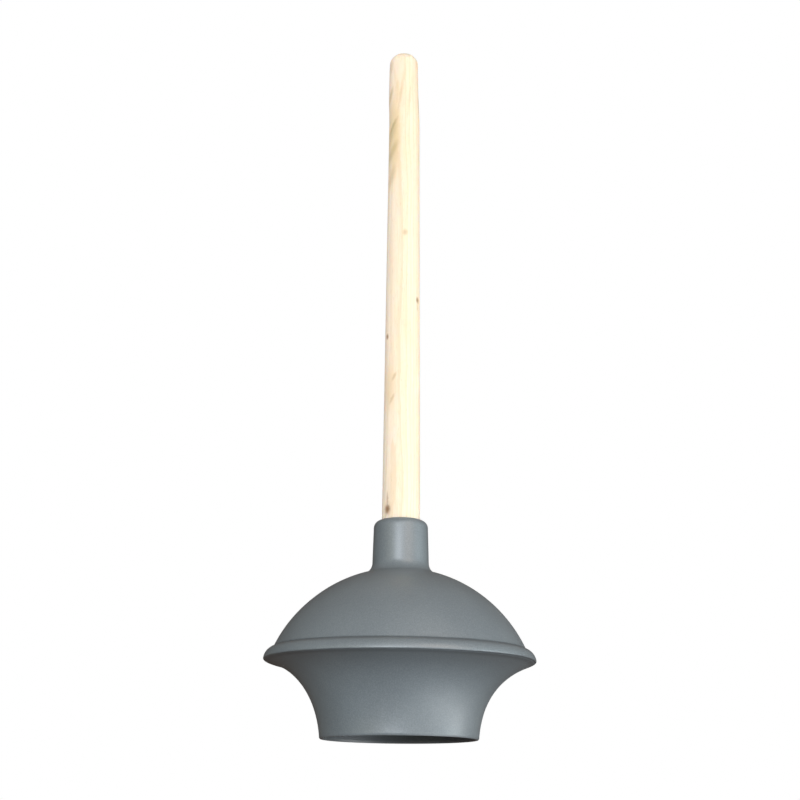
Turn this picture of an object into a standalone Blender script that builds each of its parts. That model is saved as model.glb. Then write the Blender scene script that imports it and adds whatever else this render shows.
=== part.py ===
"""Toilet plunger: a wooden handle pushed into a rubber cup whose flange folds out below the rim.

Every part is a body of revolution about Z. Z = 0 is the plane of the flange's lip, on which the
plunger stands, and the handle points up. Units are metres.

The rubber is one moulding. It is divided here where it moves: the rolled rim, the springy dome,
the stiff socket at the top, the web that rolls when the flange folds, and the sleeve below it.
"""

from math import asin, atan2, cos, degrees, pi, radians, sin, sqrt

import bpy

# Driving dimensions of the handle
OVERALL_HEIGHT = 0.4362
HANDLE_RADIUS = 0.0111  # where it enters the socket, and below
HANDLE_EASE_RADIUS = 0.0097  # where the free end starts to narrow
HANDLE_EASE_HEIGHT = 0.4000
HANDLE_TOP_RADIUS = 0.00925  # just below the rounded end
HANDLE_ROUND = 0.0068  # rounding of the free end
HANDLE_CROWN = 0.0007  # rise of the end within the rounding
HANDLE_CHAMFER = 0.0015  # at the seated end

# Driving dimensions of the rubber, outside
NECK_TOP = 0.1222
NECK_RADIUS = 0.0157
NECK_BASE_RADIUS = 0.0162
NECK_ROUND = 0.0040
NECK_FILLET = 0.0070
DOME_RADIUS = 0.07765
DOME_CENTRE = 0.01635
CREASE_HEIGHT = 0.0481
RIM_RADIUS = 0.0762
RIM_HEIGHT = 0.0421
BEAD_ROUND = 0.0069  # of the bead's face, from the crease out to the rim's widest line
BEAD_EDGE = 0.0008  # width of the edge below it
LIP_RADIUS = 0.0439
WEB_START = (0.0756, 0.0413)  # radius and height where the flange's curve leaves the rim
WEB_PULL = (0.0539, 0.0376)  # control point of the curve below it
SLEEVE_PULL = (0.0451, 0.0165)  # and above the lip

# Walls and the inside of the socket
DOME_WALL = 0.0035
WEB_WALL = 0.0034
LIP_WALL = 0.0022
LIP_ROUND = 0.0004
SEAT_HEIGHT = 0.0856  # floor of the bore
FLOOR_WALL = 0.0045
BOSS_RADIUS = 0.0160
BOSS_ROUND = 0.0020
BORE_RADIUS = 0.0121
RIB_RADIUS = 0.0114
RIB_COUNT = 4
RIB_HEIGHT = 0.0030
MOUTH_LENGTH = 0.0030

# The inside corner of the rolled rim
RIM_CORNER_RADIUS = 0.0670
RIM_CORNER_HEIGHT = 0.0455

# Where the moulding is divided, and the gap left between neighbours
SOCKET_SEAM_RADIUS = 0.0222
DOME_SEAM_HEIGHT = 0.0520
WEB_SEAM_RADIUS = 0.0640
SLEEVE_SEAM_HEIGHT = 0.0185
GAP = 0.0003

SIDES = 48
THINNING = 3  # of the flange curve's points, each third is kept
MERGE = 0.00001


def arc(centre, radius, start, end, count):
    """Points on an arc in the (radius, height) plane, with its angles in degrees."""
    step = radians(end - start) / (count - 1)
    angles = [radians(start) + step * i for i in range(count)]
    return [(centre[0] + radius * cos(a), centre[1] + radius * sin(a)) for a in angles]


def bulge(start, end, radius, count):
    """Points on an arc of this radius from start down and out to end, bulging outward."""
    run, fall = end[0] - start[0], start[1] - end[1]
    back = sqrt(radius**2 / (run**2 + fall**2) - 0.25)
    centre = ((start[0] + end[0]) / 2 - back * fall, (start[1] + end[1]) / 2 - back * run)
    angles = [degrees(atan2(p[1] - centre[1], p[0] - centre[0])) for p in (start, end)]
    return arc(centre, radius, *angles, count)


def bezier(start, first, second, end, count):
    """Points on a cubic curve from start to end."""
    points = []
    for i in range(count):
        t = i / (count - 1)
        weights = ((1 - t) ** 3, 3 * t * (1 - t) ** 2, 3 * t * t * (1 - t), t**3)
        ends = (start, first, second, end)
        points.append(tuple(sum(w * p[k] for w, p in zip(weights, ends)) for k in (0, 1)))
    return points


def dome_height(radius, wall=0.0):
    """Height of the dome's surface, wall inside its outer face."""
    return DOME_CENTRE + sqrt((DOME_RADIUS - wall) ** 2 - radius**2)


def dome_angle(height, wall=0.0):
    """Elevation in degrees, seen from the dome's centre, of its surface at this height."""
    return degrees(asin((height - DOME_CENTRE) / (DOME_RADIUS - wall)))


def flange_outside(count=41):
    """The flange's outer face, from under the rim to the lip: one bell-shaped curve."""
    return bezier(WEB_START, WEB_PULL, SLEEVE_PULL, (LIP_RADIUS, 0.0), count)


def flange_inside(count=41):
    """The flange's inner face, square to the outer one, thinning evenly towards the lip."""
    outer = flange_outside(count)
    inner = []
    for i, (radius, height) in enumerate(outer):
        before, after = outer[max(i - 1, 0)], outer[min(i + 1, count - 1)]
        along = (after[0] - before[0], after[1] - before[1])
        length = sqrt(along[0] ** 2 + along[1] ** 2)
        wall = WEB_WALL + (LIP_WALL - WEB_WALL) * i / (count - 1)
        inner.append((radius + wall * along[1] / length, height - wall * along[0] / length))
    return inner


def crossing(points, axis, value):
    """The point of a line of points where its radius (axis 0) or height (axis 1) is value."""
    for a, b in zip(points, points[1:]):
        if (a[axis] - value) * (b[axis] - value) <= 0 and a[axis] != b[axis]:
            t = (value - a[axis]) / (b[axis] - a[axis])
            return (a[0] + t * (b[0] - a[0]), a[1] + t * (b[1] - a[1]))
    raise ValueError("the line never reaches this value")


def stretch(points, axis, high, low):
    """The part of a line of points between two values of its radius or height, thinned out."""
    between = [p for p in points if low + GAP < p[axis] < high - GAP]
    return [crossing(points, axis, high), *between[1::THINNING], crossing(points, axis, low)]


def surface(name, colour, roughness):
    """A Principled material with this base colour and roughness."""
    look = bpy.data.materials.new(name)
    look.use_nodes = True
    shader = look.node_tree.nodes["Principled BSDF"]
    shader.inputs["Base Color"].default_value = colour
    shader.inputs["Roughness"].default_value = roughness
    shader.inputs["Metallic"].default_value = 0.0
    look.diffuse_color = colour
    return look


def height_of(guide):
    """World height of an empty on the Z axis, or 0 where there is none."""
    return guide.location.z + height_of(guide.parent) if guide else 0.0


def turned(name, profile, closed, look, parent, parts):
    """A profile of (radius, height) points, down its outer side, turned about Z.

    The piece's origin is on the axis, at its parent's height.
    """
    origin = height_of(parent)
    corners = [(radius, 0.0, height - origin) for radius, height in profile]
    edges = [(i, i + 1) for i in range(len(corners) - 1)]
    if closed:
        edges.append((len(corners) - 1, 0))
    mesh = bpy.data.meshes.new(name)
    mesh.from_pydata(corners, edges, [])
    mesh.materials.append(look)
    piece = bpy.data.objects.new(name, mesh)
    piece.parent = parent
    parts.objects.link(piece)
    screw = piece.modifiers.new("Turn", "SCREW")
    screw.axis = "Z"
    screw.angle = 2 * pi
    screw.steps = SIDES
    screw.render_steps = SIDES
    screw.use_merge_vertices = True
    screw.merge_threshold = MERGE
    screw.use_smooth_shade = True
    return piece


def slide(name, height, parts, carrier=None):
    """An empty on the Z axis, which a sliding piece follows. It moves with its carrier, if any."""
    guide = bpy.data.objects.new(name, None)
    guide.empty_display_type = "SINGLE_ARROW"
    guide.empty_display_size = 0.03
    guide.parent = carrier
    guide.location.z = height - height_of(carrier)
    parts.objects.link(guide)
    return guide


def wood_handle(guide, wood, parts):
    """The dowel, its free end rounded and its seated end chamfered."""
    foot = SEAT_HEIGHT + GAP
    shoulder = OVERALL_HEIGHT - HANDLE_CROWN - HANDLE_ROUND
    profile = [(0.0, OVERALL_HEIGHT)]
    profile += arc((HANDLE_TOP_RADIUS - HANDLE_ROUND, shoulder), HANDLE_ROUND, 84, 0, 8)
    profile += [
        (HANDLE_EASE_RADIUS, HANDLE_EASE_HEIGHT),
        (HANDLE_RADIUS, NECK_TOP),
        (HANDLE_RADIUS, foot + HANDLE_CHAMFER),
        (HANDLE_RADIUS - HANDLE_CHAMFER, foot),
        (0.0, foot),
    ]
    return turned("wood_handle", profile, False, wood, guide, parts)


def socket_bore():
    """The bore from the middle of its floor up to its mouth, with ribs that grip the handle."""
    mouth_foot = NECK_TOP - MOUTH_LENGTH
    pitch = (mouth_foot - SEAT_HEIGHT) / (RIB_COUNT + 0.5)
    wall = [(0.0, SEAT_HEIGHT), (BORE_RADIUS, SEAT_HEIGHT)]
    for i in range(RIB_COUNT):
        middle = SEAT_HEIGHT + pitch * (i + 0.75)
        wall += [
            (BORE_RADIUS, middle - RIB_HEIGHT / 2),
            (RIB_RADIUS, middle),
            (BORE_RADIUS, middle + RIB_HEIGHT / 2),
        ]
    return wall + [
        (BORE_RADIUS, mouth_foot - (BORE_RADIUS - RIB_RADIUS)),
        (RIB_RADIUS, mouth_foot),
        (RIB_RADIUS, NECK_TOP),
    ]


def cup_socket(guide, rubber, parts):
    """The neck that holds the handle, closed below by a boss that stands inside the cup."""
    edge = SOCKET_SEAM_RADIUS - GAP / 2
    under = dome_height(edge, DOME_WALL)
    fillet_radius = NECK_BASE_RADIUS + NECK_FILLET
    fillet_height = DOME_CENTRE + sqrt((DOME_RADIUS + NECK_FILLET) ** 2 - fillet_radius**2)
    touch = degrees(atan2(fillet_height - DOME_CENTRE, fillet_radius))
    boss_foot = SEAT_HEIGHT - FLOOR_WALL
    profile = socket_bore()
    profile += arc((NECK_RADIUS - NECK_ROUND, NECK_TOP - NECK_ROUND), NECK_ROUND, 85, 0, 5)
    profile += arc((fillet_radius, fillet_height), NECK_FILLET, 180, 180 + touch, 6)
    profile += [(edge, dome_height(edge)), (edge, under)]
    profile += arc((BOSS_RADIUS + BOSS_ROUND, under - BOSS_ROUND), BOSS_ROUND, 90, 180, 4)
    profile += arc((BOSS_RADIUS - BOSS_ROUND, boss_foot + BOSS_ROUND), BOSS_ROUND, 0, -90, 4)
    profile += [(0.0, boss_foot)]
    return turned("cup_socket", profile, False, rubber, guide, parts)


def cup_dome(rubber, parts):
    """The thin domed wall between the rim and the socket, which springs when the handle pushes."""
    edge = SOCKET_SEAM_RADIUS + GAP / 2
    foot = DOME_SEAM_HEIGHT + GAP / 2
    profile = []
    for wall, count in ((0.0, 12), (DOME_WALL, 12)):
        top, bottom = dome_angle(dome_height(edge, wall), wall), dome_angle(foot, wall)
        side = arc((0.0, DOME_CENTRE), DOME_RADIUS - wall, top, bottom, count)
        profile += side[::-1] if wall else side
    return turned("cup_dome", profile, True, rubber, None, parts)


def cup_rim(rubber, parts):
    """The stiff rolled rim where the dome and the flange meet."""
    top = DOME_SEAM_HEIGHT - GAP / 2
    seam = WEB_SEAM_RADIUS + GAP / 2
    centre = (0.0, DOME_CENTRE)
    profile = arc(centre, DOME_RADIUS, dome_angle(top), dome_angle(CREASE_HEIGHT), 3)
    profile += bulge(profile[-1], (RIM_RADIUS, RIM_HEIGHT), BEAD_ROUND, 7)[1:]
    profile += stretch(flange_outside(), 0, RIM_RADIUS - BEAD_EDGE, seam)
    profile += stretch(flange_inside(), 0, RIM_CORNER_RADIUS, seam)[::-1]
    corner, inner_top = dome_angle(RIM_CORNER_HEIGHT, DOME_WALL), dome_angle(top, DOME_WALL)
    profile += arc(centre, DOME_RADIUS - DOME_WALL, corner, inner_top, 3)
    return turned("cup_rim", profile, True, rubber, None, parts)


def flange_web(rubber, parts):
    """The bell-shaped web below the rim, which rolls inside out as the flange folds in."""
    seam, foot = WEB_SEAM_RADIUS - GAP / 2, SLEEVE_SEAM_HEIGHT + GAP / 2
    sides = []
    for line in (flange_outside(), flange_inside()):
        between = [p for p in line if p[0] < seam - GAP and p[1] > foot + GAP]
        sides.append([crossing(line, 0, seam), *between[1::THINNING], crossing(line, 1, foot)])
    return turned("flange_web", sides[0] + sides[1][::-1], True, rubber, None, parts)


def flange_sleeve(guide, rubber, parts):
    """The sleeve that goes into the drain, with the flat lip that the plunger stands on."""
    top = SLEEVE_SEAM_HEIGHT - GAP / 2
    profile = stretch(flange_outside(), 1, top, LIP_ROUND)
    profile += [(LIP_RADIUS - LIP_ROUND, 0.0), (LIP_RADIUS - LIP_WALL + LIP_ROUND, 0.0)]
    profile += stretch(flange_inside(), 1, top, LIP_ROUND)[::-1]
    return turned("flange_sleeve", profile, True, rubber, guide, parts)


def main():
    for old in list(bpy.data.objects):
        bpy.data.objects.remove(old)
    parts = bpy.data.collections.new("toilet_plunger")
    bpy.context.scene.collection.children.link(parts)
    rubber = surface("grey_rubber", (0.18, 0.21, 0.235, 1.0), 0.5)
    wood = surface("pale_wood", (0.93, 0.79, 0.60, 1.0), 0.6)
    stroke = slide("plunge_stroke", SEAT_HEIGHT, parts)
    pull = slide("handle_pull", SEAT_HEIGHT, parts, stroke)
    fold = slide("flange_fold", SLEEVE_SEAM_HEIGHT, parts)
    cup_rim(rubber, parts)
    cup_dome(rubber, parts)
    flange_web(rubber, parts)
    flange_sleeve(fold, rubber, parts)
    cup_socket(stroke, rubber, parts)
    wood_handle(pull, wood, parts)


main()
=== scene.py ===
"""Looks of the toilet plunger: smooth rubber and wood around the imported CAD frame.

Metres, +Z up the handle, the lip standing on Z = 0. Every piece is a profile turned about Z. The
sizes that a CAD node's box gives are read from the frame, and the others are the same driving
dimensions as the CAD's.
"""

from math import asin, atan2, cos, degrees, exp, pi, radians, sin, sqrt

import bpy
import numpy as np
from mathutils import Matrix, Vector

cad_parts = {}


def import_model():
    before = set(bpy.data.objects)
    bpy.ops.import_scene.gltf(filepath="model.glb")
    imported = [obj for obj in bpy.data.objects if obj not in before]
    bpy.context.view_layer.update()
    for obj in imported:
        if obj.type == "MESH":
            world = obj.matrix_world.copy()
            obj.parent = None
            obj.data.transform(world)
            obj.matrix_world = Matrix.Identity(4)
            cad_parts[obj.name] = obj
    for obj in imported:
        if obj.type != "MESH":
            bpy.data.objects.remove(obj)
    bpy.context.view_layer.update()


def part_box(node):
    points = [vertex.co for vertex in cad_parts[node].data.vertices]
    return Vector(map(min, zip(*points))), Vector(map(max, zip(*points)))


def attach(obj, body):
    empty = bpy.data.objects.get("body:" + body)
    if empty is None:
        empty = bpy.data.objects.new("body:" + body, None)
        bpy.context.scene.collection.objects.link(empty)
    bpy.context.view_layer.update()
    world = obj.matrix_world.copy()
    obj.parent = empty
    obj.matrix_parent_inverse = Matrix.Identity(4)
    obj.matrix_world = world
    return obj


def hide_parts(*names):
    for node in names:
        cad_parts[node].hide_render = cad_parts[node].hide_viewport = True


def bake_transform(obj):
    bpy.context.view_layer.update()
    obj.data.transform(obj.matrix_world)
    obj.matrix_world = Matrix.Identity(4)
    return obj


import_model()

# Sizes from the frame
RIM_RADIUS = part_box("cup_rim")[1].x
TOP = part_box("wood_handle")[1].z
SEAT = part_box("wood_handle")[0].z
HANDLE_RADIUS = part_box("wood_handle")[1].x
NECK_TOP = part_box("cup_socket")[1].z
BOSS_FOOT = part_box("cup_socket")[0].z

# The handle, which narrows slowly from the neck up to its ease, and faster above that
HANDLE_EASE_RADIUS = 0.0097
HANDLE_EASE_HEIGHT = 0.4000
HANDLE_TOP_RADIUS = 0.00925
HANDLE_ROUND = 0.0068
HANDLE_CROWN = 0.0007  # height of the nearly flat end
HANDLE_ROUND_START = 84  # degrees above level where the crown meets the rounding
HANDLE_CHAMFER = 0.0015  # at the seated end
BOW = 0.00066  # lean of the free end
BOW_START = 0.383
BOW_LENGTH = 0.027

# The rubber, outside
NECK_RADIUS = 0.0157
NECK_BASE_RADIUS = 0.0162
NECK_ROUND = 0.0040
NECK_FILLET = 0.0070
MOUTH_ROUND = 0.0004  # of the bore's edge at the neck's top
DOME_RADIUS = 0.07765
DOME_CENTRE = 0.01635
CREASE_HEIGHT = 0.0481
CREASE_REACH = 0.0020  # height of the dome above the crease that has a finer mesh
GROOVE_DEPTH = 0.0004  # of the fine line between the dome and the rim's bead
GROOVE_WIDTH = 0.0005
RIM_HEIGHT = 0.0421
BEAD_ROUND = 0.0069  # of the bead's face, from the crease out to the rim's widest line
BEAD_EDGE_ROUND = 0.0007  # of the edge below it
LIP_RADIUS = 0.0439
LIP_ROUND = 0.0004
WEB_START = (0.0756, 0.0413)  # radius and height where the flange's curve leaves the rim
WEB_PULL = (0.0539, 0.0376)  # control point of the curve below it
SLEEVE_PULL = (0.0451, 0.0165)  # and above the lip

# Painted shade on the rubber: darker in the crease, under the rim and, from 0 to 1, on the inside
CREASE_SHADE_HEIGHT = 0.0475
CREASE_SHADE_WIDTH = 0.0009
UNDER_SHADE_RADIUS = 0.0738
UNDER_SHADE_WIDTH = 0.0016
UNDER_SHADE_DROP = 0.0002  # below the rim's widest line, where this one takes over
INNER_SHADE = 0.65

# How the soft rubber has settled: the rim is a shallow saddle, and the web hangs towards +X
RIM_LIFT = 0.0003  # at its sides
RIM_DROOP = 0.0011  # at the front and back
RIM_LEAN = 0.0003  # lower at +X
SETTLES_FROM = 0.048  # radius where the rim's share of this starts
SETTLES_WHOLLY = 0.073  # and where it is whole
WEB_SAG = 0.00065  # of the web's middle
SAG_START = 0.047  # radius of the web's lower end

# Its walls and the bore
DOME_WALL = 0.0035
WEB_WALL = 0.0034
LIP_WALL = 0.0022
INNER_FOOT = 0.0460  # height where the dome's inner face starts
INNER_TOP = 74  # its elevation in degrees where it meets the boss
BOSS_RADIUS = 0.0160
BOSS_ROUND = 0.0020
SEAT_GAP = 0.0003  # below the seated handle
MOUTH_RADIUS = HANDLE_RADIUS + 0.00005
MOUTH_LENGTH = 0.0030
BORE_RADIUS = 0.0121
RIB_COUNT = 4
RIB_HEIGHT = 0.0030
RIB_STEPS = 4  # mesh steps on each side of a rib

# Where the rubber's two pieces meet, under the rim's crisp edge and at its inner corner
SEAM_OUT = (0.0751, 0.0414)
SEAM_IN = (0.0680, 0.0443)

TURNS = 256  # segments round the axis
FINE = 0.0009  # length of a mesh edge along a profile
EDGE_FINE = 0.0001  # and on the rim's edge
WEB_POINTS = 80  # on the flange's curve
SEAM_CLEAR = 0.0003  # the curves stop this far from the seam's outer corner
LIP_CLEAR = 0.0005  # and this far from its inner corner and the lip
MERGE = 0.000001
CRISP = 50.0  # degrees: sharper corners stay crisp


def arc(centre, radius, start, end, step=FINE):
    """Points on an arc in the (radius, height) plane, its angles in degrees, a step apart."""
    count = max(3, int(abs(radians(end - start)) * radius / step) + 2)
    angles = np.radians(np.linspace(start, end, count))
    return [(centre[0] + radius * cos(a), centre[1] + radius * sin(a)) for a in angles]


def bulge(start, end, radius):
    """Points on an arc of this radius from start down and out to end, bulging outward."""
    run, fall = end[0] - start[0], start[1] - end[1]
    back = sqrt(radius**2 / (run**2 + fall**2) - 0.25)
    centre = ((start[0] + end[0]) / 2 - back * fall, (start[1] + end[1]) / 2 - back * run)
    angles = [degrees(atan2(p[1] - centre[1], p[0] - centre[0])) for p in (start, end)]
    return arc(centre, radius, *angles, FINE / 3)


def line(start, end):
    """Points along a straight line, FINE apart, without its start."""
    count = max(1, int(sqrt((end[0] - start[0]) ** 2 + (end[1] - start[1]) ** 2) / FINE))
    share = [i / count for i in range(1, count + 1)]
    return [tuple(a + (b - a) * t for a, b in zip(start, end)) for t in share]


def path(*corners):
    """Straight runs through these points, FINE apart, without the first."""
    points = []
    for start, end in zip(corners, corners[1:]):
        points += line(start, end)
    return points


def bezier(start, first, second, end, count):
    """Points on a cubic curve from start to end."""
    points = []
    for t in np.linspace(0, 1, count):
        weights = ((1 - t) ** 3, 3 * t * (1 - t) ** 2, 3 * t * t * (1 - t), t**3)
        ends = (start, first, second, end)
        points.append(tuple(sum(w * p[k] for w, p in zip(weights, ends)) for k in (0, 1)))
    return points


def flange_outside():
    """The flange's outer face, from under the rim to the lip."""
    return bezier(WEB_START, WEB_PULL, SLEEVE_PULL, (LIP_RADIUS, 0.0), WEB_POINTS)


def flange_inside():
    """The flange's inner face, square to the outer one, thinning evenly towards the lip."""
    outer = flange_outside()
    inner = []
    for i, (radius, height) in enumerate(outer):
        before, after = outer[max(i - 1, 0)], outer[min(i + 1, len(outer) - 1)]
        along = Vector((after[0] - before[0], after[1] - before[1])).normalized()
        wall = WEB_WALL + (LIP_WALL - WEB_WALL) * i / (len(outer) - 1)
        inner.append((radius + wall * along.y, height - wall * along.x))
    return inner


def dome_angle(height, wall=0.0):
    """Elevation in degrees, seen from the dome's centre, of its surface at this height."""
    return degrees(asin((height - DOME_CENTRE) / (DOME_RADIUS - wall)))


def rings_of(profile):
    """The corners of this profile turned about Z, and which of them make up each ring."""
    verts, rings, last = [], [], None
    for radius, height in profile:
        if last and (Vector((radius, height)) - Vector(last)).length < MERGE:
            continue
        last = (radius, height)
        if radius < MERGE:
            rings.append([len(verts)] * TURNS)
            verts.append((0.0, 0.0, height))
            continue
        rings.append(list(range(len(verts), len(verts) + TURNS)))
        for k in range(TURNS):
            a = 2 * pi * k / TURNS
            verts.append((radius * cos(a), radius * sin(a), height))
    return verts, rings


def turned(name, profile, closed):
    """A smooth mesh of this (radius, height) profile turned about Z, quads all round."""
    verts, rings = rings_of(profile)
    faces = []
    pairs = list(zip(rings, rings[1:])) + ([(rings[-1], rings[0])] if closed else [])
    for upper, lower in pairs:
        for k in range(TURNS):
            n = (k + 1) % TURNS
            corners = [upper[k], lower[k], lower[n], upper[n]]
            faces.append(list(dict.fromkeys(corners)))
    mesh = bpy.data.meshes.new(name)
    mesh.from_pydata(verts, [], faces)
    mesh.shade_smooth()
    mesh.set_sharp_from_angle(angle=radians(CRISP))
    piece = bpy.data.objects.new(name, mesh)
    bpy.context.scene.collection.objects.link(piece)
    return piece


def eased(value, low, high):
    """0 below low, 1 above high, and smooth between."""
    share = min(max((value - low) / (high - low), 0.0), 1.0)
    return share * share * (3 - 2 * share)


def painted_shade(piece):
    """Marks where shade is painted on the moulding: its crease, the line under the rim, and inside.
    """
    shade = []
    for corner in piece.data.vertices:
        radius, height = sqrt(corner.co.x**2 + corner.co.y**2), corner.co.z
        inward = corner.normal.x * corner.co.x + corner.normal.y * corner.co.y < 0
        if inward:
            shade.append(INNER_SHADE)
        elif height > RIM_HEIGHT - UNDER_SHADE_DROP:
            shade.append(exp(-(((height - CREASE_SHADE_HEIGHT) / CREASE_SHADE_WIDTH) ** 2)))
        else:
            shade.append(exp(-(((radius - UNDER_SHADE_RADIUS) / UNDER_SHADE_WIDTH) ** 2)))
    piece.data.attributes.new("shade", "FLOAT", "POINT").data.foreach_set("value", shade)


def settled(piece, web):
    """Moves the rubber round the rim, and the web's middle, a millimetre up or down."""
    for corner in piece.data.vertices:
        radius = sqrt(corner.co.x**2 + corner.co.y**2)
        if radius < LIP_RADIUS:
            continue
        right, front = corner.co.x / radius, corner.co.y / radius
        saddle = RIM_LIFT - (RIM_LIFT + RIM_DROOP) * front * front - RIM_LEAN * right
        rise = saddle * eased(radius, SETTLES_FROM, SETTLES_WHOLLY)
        if web:
            middle = (radius - SAG_START) / (WEB_START[0] - SAG_START)
            rise -= WEB_SAG * (1 + right) * 4 * max(middle * (1 - middle), 0.0)
        corner.co.z += rise


def bore_wall():
    """The bore from the middle of its floor up to its mouth, with rounded ribs round it."""
    floor_height, mouth_foot = SEAT - SEAT_GAP, NECK_TOP - MOUTH_LENGTH
    pitch = (mouth_foot - floor_height) / (RIB_COUNT + 0.5)
    swell = BORE_RADIUS - MOUTH_RADIUS
    wall = [(0.0, floor_height), (BORE_RADIUS, floor_height)]
    for i in range(RIB_COUNT):
        middle = floor_height + pitch * (i + 0.75)
        for step in range(-RIB_STEPS, RIB_STEPS + 1):
            share = step / RIB_STEPS
            inward = swell * (1 + cos(pi * share)) / 2
            wall.append((BORE_RADIUS - inward, middle + RIB_HEIGHT / 2 * share))
    return wall + [(BORE_RADIUS, mouth_foot - swell), (MOUTH_RADIUS, mouth_foot)]


def cup_outside():
    """The neck, its fillet, the dome, the crease and the rim's bead, from the mouth to the seam."""
    fillet_radius = NECK_BASE_RADIUS + NECK_FILLET
    fillet_height = DOME_CENTRE + sqrt((DOME_RADIUS + NECK_FILLET) ** 2 - fillet_radius**2)
    touch = degrees(atan2(fillet_height - DOME_CENTRE, fillet_radius))
    mouth = (MOUTH_RADIUS + MOUTH_ROUND, NECK_TOP - MOUTH_ROUND)
    points = [(MOUTH_RADIUS, NECK_TOP - MOUTH_ROUND)] + arc(mouth, MOUTH_ROUND, 180, 90)[1:]
    points += arc((NECK_RADIUS - NECK_ROUND, NECK_TOP - NECK_ROUND), NECK_ROUND, 90, 0)
    foot = arc((fillet_radius, fillet_height), NECK_FILLET, 180, 180 + touch)
    points += line(points[-1], foot[0]) + foot[1:]
    near = dome_angle(CREASE_HEIGHT + CREASE_REACH)
    above = dome_angle(CREASE_HEIGHT + GROOVE_WIDTH / 2)
    points += arc((0.0, DOME_CENTRE), DOME_RADIUS, touch, near)[1:]
    points += arc((0.0, DOME_CENTRE), DOME_RADIUS, near, above, FINE / 4)[1:]
    crease = sqrt(DOME_RADIUS**2 - (CREASE_HEIGHT - DOME_CENTRE) ** 2)
    points.append((crease - GROOVE_DEPTH, CREASE_HEIGHT - GROOVE_WIDTH / 2))
    points += bulge((crease, CREASE_HEIGHT), (RIM_RADIUS, RIM_HEIGHT), BEAD_ROUND)
    edge = (RIM_RADIUS - BEAD_EDGE_ROUND, RIM_HEIGHT)
    return points + arc(edge, BEAD_EDGE_ROUND, 0, -90, EDGE_FINE)[1:] + [SEAM_OUT]


def cup_inside():
    """The seam's face, the inner side of the dome and the boss, from the seam to the axis."""
    points = path(SEAM_OUT, SEAM_IN)
    foot = dome_angle(INNER_FOOT, DOME_WALL)
    points += arc((0.0, DOME_CENTRE), DOME_RADIUS - DOME_WALL, foot, INNER_TOP)
    boss = arc((BOSS_RADIUS - BOSS_ROUND, BOSS_FOOT + BOSS_ROUND), BOSS_ROUND, 0, -90)
    points += line(points[-1], boss[0]) + boss[1:]
    return points + line(points[-1], (0.0, BOSS_FOOT))


def flange_profile():
    """Underside of the rim, web and sleeve outside, then the lip and the inner face back up."""
    outer = [p for p in flange_outside() if p[0] < SEAM_OUT[0] - SEAM_CLEAR and p[1] > LIP_CLEAR]
    inner = [p for p in flange_inside() if p[0] < SEAM_IN[0] - LIP_CLEAR and p[1] > LIP_CLEAR]
    lip = [(LIP_RADIUS - LIP_ROUND, 0.0), (LIP_RADIUS - LIP_WALL + LIP_ROUND, 0.0)]
    return [SEAM_OUT, *outer, *lip, *inner[::-1], *path(SEAM_IN, SEAM_OUT)[:-1]]


def bowed(piece):
    """Leans the handle's free end slightly towards -X."""
    for corner in piece.data.vertices:
        corner.co.x -= BOW * eased(corner.co.z, BOW_START, BOW_START + BOW_LENGTH)


def handle_profile():
    """The dowel from its rounded free end down to the seated end."""
    shoulder = TOP - HANDLE_CROWN - HANDLE_ROUND
    centre = (HANDLE_TOP_RADIUS - HANDLE_ROUND, shoulder)
    end = arc(centre, HANDLE_ROUND, HANDLE_ROUND_START, 0)
    points = [(0.0, TOP)] + line((0.0, TOP), end[0]) + end[1:]
    ease = (HANDLE_EASE_RADIUS, HANDLE_EASE_HEIGHT)
    points += path(end[-1], ease, (HANDLE_RADIUS, NECK_TOP))
    points += path(points[-1], (HANDLE_RADIUS, SEAT + HANDLE_CHAMFER))
    return points + path(points[-1], (HANDLE_RADIUS - HANDLE_CHAMFER, SEAT), (0.0, SEAT))


# Colours of the rubber
RUBBER_DULL = (0.170, 0.202, 0.226)
RUBBER_BLOOM = (0.192, 0.226, 0.250)
RUBBER_PALE_FLECK = (0.25, 0.29, 0.305)
RUBBER_DARK_FLECK = (0.125, 0.15, 0.164)
# painted shade, mixed in where the shade attribute marks the crease, under the rim and the inside
RUBBER_SHADE = (0.06, 0.07, 0.08)

# Colours of the wood
EARLY_WOOD = (0.98, 0.84, 0.68)
WARM_FIBRE = (0.93, 0.76, 0.56)
LATE_WOOD = (0.80, 0.64, 0.42)
BLOTCH = (0.84, 0.69, 0.48)
PORE = (0.58, 0.41, 0.24)
DARK_KNOT = (0.16, 0.075, 0.035)
BROWN_KNOT = (0.42, 0.25, 0.12)
TAN_STAIN = (0.56, 0.43, 0.21)
STRAW = (0.78, 0.62, 0.35)

# Growth rings are nearly cylinders round a pith outside the handle, so they run up it as long
# streaks
PITH = (0.031, 0.052, 0)  # from the pith to the handle's axis
RINGS = 420  # a metre
RING_TAPER = 0.012  # share of the height that counts as distance from the pith
RING_DRIFT = 2.6  # rings, over a long way
RING_WAVE = 0.35  # rings, over a short way

# How far the middle of a mark lies below the wood's surface, how far it reaches into the wood,
# and how much its edge wanders
MARK_DEPTH = 0.0006
MARK_REACH = 0.0030
MARK_SHAKE = 0.0012

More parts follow.
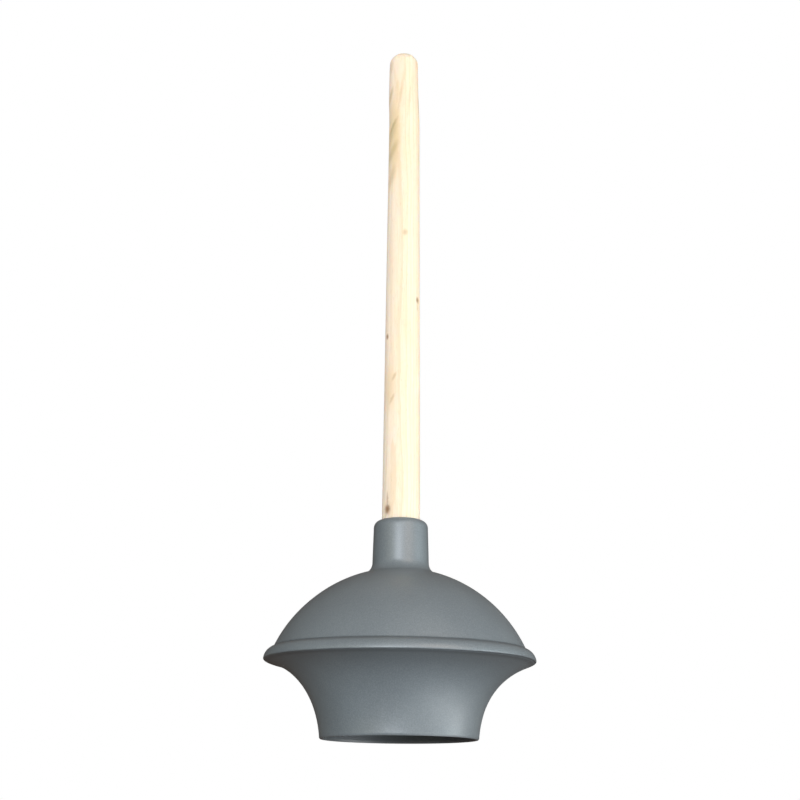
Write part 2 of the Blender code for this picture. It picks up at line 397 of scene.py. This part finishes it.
# Marks in the wood: azimuth from the camera's side towards +X (degrees), height, half width and
# half length (m), tilt (degrees, + runs up to the right), strength and colour
MARKS = (
    (-52, 0.3780, 0.0085, 0.0300, 0, 0.75, STRAW),
    (-44, 0.3660, 0.0100, 0.0360, 8, 0.70, STRAW),
    (-46, 0.2020, 0.0060, 0.0160, 0, 0.45, STRAW),
    (-30, 0.4100, 0.0016, 0.0200, -14, 0.30, STRAW),
    (-46, 0.1277, 0.0021, 0.0029, 0, 1.00, DARK_KNOT),
    (-46, 0.1277, 0.0032, 0.0046, 0, 0.50, BROWN_KNOT),
    (-46, 0.1338, 0.0009, 0.0050, 0, 0.55, BROWN_KNOT),
    (-54, 0.1235, 0.0009, 0.0060, 12, 0.30, TAN_STAIN),
    (59, 0.2592, 0.0016, 0.0024, 0, 1.00, BROWN_KNOT),
    (59, 0.2546, 0.0009, 0.0035, 0, 0.55, TAN_STAIN),
    (-61, 0.2352, 0.0015, 0.0021, 0, 0.95, BROWN_KNOT),
    (6, 0.3030, 0.0018, 0.0026, 0, 0.55, TAN_STAIN),
    (-27, 0.2083, 0.0011, 0.0034, 28, 0.55, TAN_STAIN),
    (-34, 0.1945, 0.0011, 0.0040, 30, 0.50, TAN_STAIN),
    (-62, 0.4240, 0.0024, 0.0060, 12, 0.30, TAN_STAIN),
    (-62, 0.4030, 0.0022, 0.0065, 20, 0.65, TAN_STAIN),
    (-50, 0.3790, 0.0017, 0.0085, 33, 0.95, TAN_STAIN),
    (-54, 0.3745, 0.0034, 0.0100, 30, 0.50, TAN_STAIN),
    (-50, 0.3610, 0.0032, 0.0115, 34, 0.60, TAN_STAIN),
    (-52, 0.3430, 0.0030, 0.0090, 20, 0.50, TAN_STAIN),
    (-12, 0.4050, 0.0013, 0.0220, 8, 0.35, TAN_STAIN),
    (20, 0.4000, 0.0011, 0.0200, 6, 0.25, TAN_STAIN),
    (150, 0.3300, 0.0016, 0.0022, 0, 0.80, BROWN_KNOT),
    (118, 0.1850, 0.0013, 0.0018, 0, 0.70, BROWN_KNOT),
    (200, 0.2300, 0.0050, 0.0160, 10, 0.40, STRAW),
    (90, 0.3900, 0.0040, 0.0200, -8, 0.35, STRAW),
)


def material(name):
    """A new material, its node tree and its Principled shader."""
    look = bpy.data.materials.new(name)
    look.use_nodes = True
    return look, look.node_tree, look.node_tree.nodes["Principled BSDF"]


def node(tree, kind, inputs, **settings):
    """A new shader node. inputs gives each socket its value, or the output that feeds it."""
    made = tree.nodes.new("ShaderNode" + kind)
    for key, value in settings.items():
        setattr(made, key, value)
    for key, value in inputs.items():
        if isinstance(value, bpy.types.NodeSocket):
            tree.links.new(value, made.inputs[key])
        else:
            made.inputs[key].default_value = value
    return made


def mapped(tree, place, **settings):
    """These coordinates moved, turned or scaled."""
    keys = {key.title(): value for key, value in settings.items()}
    return node(tree, "Mapping", {"Vector": place, **keys}).outputs[0]


def noise_of(tree, place, scale, detail=2.0, rough=0.5):
    """Noise from 0 to 1, scale in cells a metre."""
    keys = {"Vector": place, "Scale": scale, "Detail": detail, "Roughness": rough}
    return node(tree, "TexNoise", keys).outputs["Fac"]


def streaks(tree, place, cells, detail=2.0, rough=0.5):
    """Noise from 0 to 1, with its own number of cells a metre along each axis."""
    return noise_of(tree, mapped(tree, place, scale=cells), 1, detail, rough)


def ranged(tree, value, low, high, to_low=0.0, to_high=1.0):
    """value from low to high, eased to the range to_low to to_high."""
    keys = {"Value": value, "From Min": low, "From Max": high, "To Min": to_low, "To Max": to_high}
    return node(tree, "MapRange", keys, interpolation_type="SMOOTHSTEP").outputs[0]


def up_to(tree, value, most):
    """value from 0 to 1, eased to a share from 0 to most."""
    return ranged(tree, value, 0, 1, 0, most)


def math(tree, operation, first, second=0.0):
    """This operation on one or two numbers."""
    return node(tree, "Math", {0: first, 1: second}, operation=operation).outputs[0]


def mixed(tree, share, first, second):
    """Two colours mixed, with this share of the second."""
    made = node(tree, "Mix", {0: share}, data_type="RGBA", blend_type="MIX")
    for socket, value in ((made.inputs[6], first), (made.inputs[7], second)):
        if isinstance(value, bpy.types.NodeSocket):
            tree.links.new(value, socket)
        else:
            socket.default_value = (*value, 1)
    return made.outputs[2]


def either(tree, share, first, second):
    """The first shader where share is 0, and the second where it is 1."""
    mix = tree.nodes.new("ShaderNodeMixShader")
    for feed, socket in zip((share, first, second), mix.inputs):
        tree.links.new(feed, socket)
    return mix.outputs[0]


def bumped(tree, shader, layers):
    """Bumps from (height, strength, distance) layers, the broadest first."""
    normal = None
    for height, strength, distance in layers:
        keys = {"Height": height, "Strength": strength, "Distance": distance}
        if normal:
            keys["Normal"] = normal
        normal = node(tree, "Bump", keys).outputs[0]
    tree.links.new(normal, shader.inputs["Normal"])


def rubber_look():
    """Matte moulded rubber: blue-grey, finely mottled, with a faint uneven bloom and painted shade
    in the crease, under the rim and inside.
    """
    look, tree, shader = material("grey_rubber")
    place = node(tree, "TexCoord", {}).outputs["Object"]
    bloom = noise_of(tree, place, scale=28, detail=4, rough=0.6)
    bloom = ranged(tree, bloom, 0.35, 0.75)
    mottle = noise_of(tree, place, scale=1200, detail=3, rough=0.7)
    mottle = ranged(tree, mottle, 0.3, 0.7)
    grain = noise_of(tree, place, scale=2600, detail=2, rough=0.6)
    colour = mixed(tree, bloom, RUBBER_DULL, RUBBER_BLOOM)
    colour = mixed(tree, up_to(tree, mottle, 0.55), colour, RUBBER_PALE_FLECK)
    colour = mixed(tree, ranged(tree, grain, 0.3, 0.7, 0, 0.55), colour, RUBBER_DARK_FLECK)
    # painted shade: the shade attribute darkens the crease, the line under the rim and the inside
    shade = node(tree, "Attribute", {}, attribute_name="shade").outputs["Fac"]
    colour = mixed(tree, math(tree, "MULTIPLY", shade, 0.45), colour, RUBBER_SHADE)
    fleck_rough = up_to(tree, mottle, 0.04)
    rough = math(tree, "ADD", ranged(tree, bloom, 0, 1, 0.42, 0.47), fleck_rough)
    tree.links.new(colour, shader.inputs["Base Color"])
    tree.links.new(rough, shader.inputs["Roughness"])
    shader.inputs["Specular IOR Level"].default_value = 1.0
    bumped(tree, shader, ((bloom, 0.15, 0.0006), (mottle, 0.25, 0.00006), (grain, 0.2, 0.00003)))
    return look


def mark(tree, place, azimuth, height, half_width, half_length, tilt):
    """A soft-edged spot on the handle's surface, 1 in its middle."""
    angle = radians(azimuth)
    radius = HANDLE_RADIUS - MARK_DEPTH
    keys = {
        "Vector": place,
        "Location": (radius * sin(angle), -radius * cos(angle), height),
        "Rotation": (0, radians(tilt), angle),
        "Scale": (half_width, MARK_REACH, half_length),
    }
    local = node(tree, "Mapping", keys, vector_type="TEXTURE").outputs[0]
    away = node(tree, "VectorMath", {0: local}, operation="LENGTH").outputs["Value"]
    return ranged(tree, away, 1.3, 0.2)


def late_wood(tree, place):
    """1 in the dark part of each growth ring, and 0 in the pale part."""
    drift = streaks(tree, place, (60, 60, 9))
    wavy = streaks(tree, place, (500, 500, 40))
    offset = node(tree, "VectorMath", {0: place, 1: PITH}, operation="ADD").outputs[0]
    flat = mapped(tree, offset, scale=(1, 1, RING_TAPER))
    away = node(tree, "VectorMath", {0: flat}, operation="LENGTH").outputs["Value"]
    rings = math(tree, "MULTIPLY", away, RINGS)
    rings = math(tree, "ADD", rings, math(tree, "MULTIPLY", drift, RING_DRIFT))
    rings = math(tree, "ADD", rings, math(tree, "MULTIPLY", wavy, RING_WAVE))
    ring = math(tree, "FRACT", rings)
    return math(tree, "MULTIPLY", ranged(tree, ring, 0.45, 0.92), ranged(tree, ring, 1.0, 0.95))


def shaken(tree, place):
    """These coordinates moved about a little, for marks with uneven edges."""
    shake = node(tree, "TexNoise", {"Vector": place, "Scale": 700.0, "Detail": 2.0}).outputs["Color"]
    half = (0.5, 0.5, 0.5)
    shake = node(tree, "VectorMath", {0: shake, 1: half}, operation="SUBTRACT").outputs[0]
    shake = node(tree, "VectorMath", {0: shake, "Scale": MARK_SHAKE}, operation="SCALE").outputs[0]
    return node(tree, "VectorMath", {0: place, 1: shake}, operation="ADD").outputs[0]


def wood_look():
    """Bare sanded softwood: long pale grain, warm streaks, small knots and brown stains."""
    look, tree, shader = material("pale_wood")
    place = node(tree, "TexCoord", {}).outputs["Object"]
    late = late_wood(tree, place)
    fibre = streaks(tree, place, (2600, 2600, 60), detail=3, rough=0.6)
    pores = ranged(tree, streaks(tree, place, (5200, 5200, 210), detail=1), 0.62, 0.72)
    blotch = ranged(tree, streaks(tree, place, (90, 90, 14)), 0.4, 0.75)
    colour = mixed(tree, ranged(tree, fibre, 0.3, 0.7, 0, 0.8), EARLY_WOOD, WARM_FIBRE)
    colour = mixed(tree, up_to(tree, late, 0.42), colour, LATE_WOOD)
    colour = mixed(tree, up_to(tree, blotch, 0.25), colour, BLOTCH)
    colour = mixed(tree, up_to(tree, pores, 0.35), colour, PORE)
    near = shaken(tree, place)
    for azimuth, height, half_width, half_length, tilt, strength, stain in MARKS:
        spot = mark(tree, near, azimuth, height, half_width, half_length, tilt)
        colour = mixed(tree, math(tree, "MULTIPLY", spot, strength), colour, stain)
    tree.links.new(colour, shader.inputs["Base Color"])
    tree.links.new(ranged(tree, fibre, 0.2, 0.8, 0.52, 0.68), shader.inputs["Roughness"])
    shader.inputs["Subsurface Weight"].default_value = 0.7
    shader.inputs["Subsurface Radius"].default_value = (1.0, 0.75, 0.5)
    shader.inputs["Subsurface Scale"].default_value = 0.006
    bumped(tree, shader, ((late, 0.2, 0.00008), (fibre, 0.3, 0.00006), (pores, -0.3, 0.00005)))
    return look


# The photograph's viewpoint: below the lip's plane, looking up
CAMERA_DISTANCE = 0.700
CAMERA_HEIGHT = -0.0364
CAMERA_PITCH = 18.415
CAMERA_YAW = -0.098
CAMERA_ROLL = 0.526
CAMERA_LENS = 55.36


def camera():
    """The photograph's camera, made the scene's camera."""
    data = bpy.data.cameras.new("camera")
    data.lens = CAMERA_LENS
    data.clip_start = 0.01
    eye = bpy.data.objects.new("camera", data)
    turn = Matrix.Rotation(radians(-CAMERA_YAW), 4, "Z")
    turn @= Matrix.Rotation(radians(90 + CAMERA_PITCH), 4, "X")
    turn @= Matrix.Rotation(radians(CAMERA_ROLL), 4, "Z")
    eye.matrix_world = Matrix.Translation((0.0, -CAMERA_DISTANCE, CAMERA_HEIGHT)) @ turn
    bpy.context.scene.collection.objects.link(eye)
    bpy.context.scene.camera = eye


# Soft round lamps aimed at the cup: azimuth from the camera's side towards +X and
# elevation (degrees), distance and width (m), power (W) and colour
LAMPS = {
    "front": (-8, 6, 1.3, 0.5, 12.4, (0.855, 0.925, 1.0)),
    "upper_right": (33, 25, 1.3, 0.7, 5.9, (1.0, 0.84, 0.72)),
    "right": (78, 3, 1.3, 0.6, 3.8, (0.725, 0.945, 1.0)),
    "left": (-42, 6, 1.3, 0.9, 1.7, (1.0, 0.94, 0.55)),
    "low_right": (60, -30, 1.3, 0.8, 4.1, (0.93, 0.97, 1.0)),
    "low_left": (-62, -28, 1.3, 0.8, 0.6, (0.6, 0.8, 1.0)),
    "inside": (86, -15, 1.3, 0.35, 3.0, (1.0, 1.0, 1.0)),
    "back": (180, 5, 1.3, 0.9, 9.0, (1.0, 1.0, 1.0)),
}
BESIDE_HANDLE = (-88, 32, 1.3, 0.9, 6.4, (0.84, 0.86, 1.0))
MIDDLE = Vector((0, 0, 0.08))

# The even light from all round
FILL_COLOUR = (1.0, 0.76, 0.64, 1)
FILL_STRENGTH = 0.117


def lamp(name, azimuth, elevation, distance, width, power, colour):
    """A soft lamp. The one at the back lights the object without a glint on its outline."""
    data = bpy.data.lights.new(name, "AREA")
    data.shape = "DISK"
    data.size = width
    data.energy = power
    data.color = colour
    light = bpy.data.objects.new(name, data)
    turn, lift = radians(azimuth), radians(elevation)
    way = Vector((sin(turn) * cos(lift), -cos(turn) * cos(lift), sin(lift)))
    light.location = MIDDLE + way * distance
    light.rotation_euler = way.to_track_quat("Z", "Y").to_euler()
    light.visible_glossy = name != "back"
    bpy.context.scene.collection.objects.link(light)


def handle_lamp(handle):
    """A lamp on the left that lights the wood alone, as a card held beside the handle would."""
    lamp("beside_handle", *BESIDE_HANDLE)
    lit = bpy.data.collections.new("lit_by_card")
    lit.objects.link(handle)
    bpy.data.objects["beside_handle"].light_linking.receiver_collection = lit


def world():
    """White behind everything, and a dimmer, even light from all round."""
    sky = bpy.data.worlds.new("studio")
    sky.use_nodes = True
    tree = sky.node_tree
    tree.nodes.clear()
    seen = tree.nodes.new("ShaderNodeBackground")
    seen.inputs["Color"].default_value = (1, 1, 1, 1)
    fill = tree.nodes.new("ShaderNodeBackground")
    fill.inputs["Color"].default_value = FILL_COLOUR
    fill.inputs["Strength"].default_value = FILL_STRENGTH
    ray = tree.nodes.new("ShaderNodeLightPath").outputs["Is Camera Ray"]
    out = tree.nodes.new("ShaderNodeOutputWorld")
    tree.links.new(either(tree, ray, fill.outputs[0], seen.outputs[0]), out.inputs[0])
    bpy.context.scene.world = sky
    bpy.context.scene.view_settings.view_transform = "Standard"


# The floor
FLOOR_HALF = 12.0
FLOOR_LEVEL = -0.0003
FLOOR_GREY = (0.38, 0.38, 0.38, 1)
FLOOR_GLOW = 0.72  # keeps it pale far from the lamps
FLOOR_CORNERS = ((-1, -1), (1, -1), (1, 1), (-1, 1))


def floor():
    """A pale floor under the lip.

    Only the camera sees it, and only from above: the photograph's view comes from below it, and
    lamps below it light the underside of the rubber.
    """
    mesh = bpy.data.meshes.new("floor")
    corners = [(x * FLOOR_HALF, y * FLOOR_HALF, FLOOR_LEVEL) for x, y in FLOOR_CORNERS]
    mesh.from_pydata(corners, [], [(0, 1, 2, 3)])
    ground = bpy.data.objects.new("floor", mesh)
    bpy.context.scene.collection.objects.link(ground)
    look, tree, shader = material("pale_floor")
    shader.inputs["Base Color"].default_value = FLOOR_GREY
    shader.inputs["Roughness"].default_value = 1.0
    shader.inputs["Specular IOR Level"].default_value = 0.0
    shader.inputs["Emission Color"].default_value = (1, 1, 1, 1)
    shader.inputs["Emission Strength"].default_value = FLOOR_GLOW
    clear = tree.nodes.new("ShaderNodeBsdfTransparent")
    side = tree.nodes.new("ShaderNodeNewGeometry")
    ray = tree.nodes.new("ShaderNodeLightPath")
    above = math(tree, "SUBTRACT", 1.0, side.outputs["Backfacing"])
    seen = math(tree, "MULTIPLY", above, ray.outputs["Is Camera Ray"])
    ground_look = either(tree, seen, clear.outputs[0], shader.outputs[0])
    tree.links.new(ground_look, tree.nodes["Material Output"].inputs[0])
    mesh.materials.append(look)


def rubber_cup(rubber):
    """Socket, dome and rim, as one skin."""
    cup = turned("rubber_cup", bore_wall() + cup_outside() + cup_inside(), False)
    # painted shade in the crease, under the rim and inside
    painted_shade(cup)
    settled(cup, False)
    cup.data.materials.append(rubber)
    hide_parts("cup_rim", "cup_dome", "cup_socket")
    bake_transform(cup)


def rubber_flange(rubber):
    """Web and sleeve, as one skin."""
    flange = turned("rubber_flange", flange_profile(), True)
    # painted shade under the rim and inside
    painted_shade(flange)
    settled(flange, True)
    flange.data.materials.append(rubber)
    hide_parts("flange_web", "flange_sleeve")
    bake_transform(flange)


def wooden_handle(wood):
    """The dowel."""
    handle = turned("handle", handle_profile(), False)
    bowed(handle)
    handle.data.materials.append(wood)
    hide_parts("wood_handle")
    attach(handle, "handle")
    handle_lamp(handle)


def main():
    """Camera, world, floor and lamps, then the three pieces."""
    camera()
    world()
    floor()
    for name, settings in LAMPS.items():
        lamp(name, *settings)
    rubber, wood = rubber_look(), wood_look()
    rubber_cup(rubber)
    rubber_flange(rubber)
    wooden_handle(wood)


main()
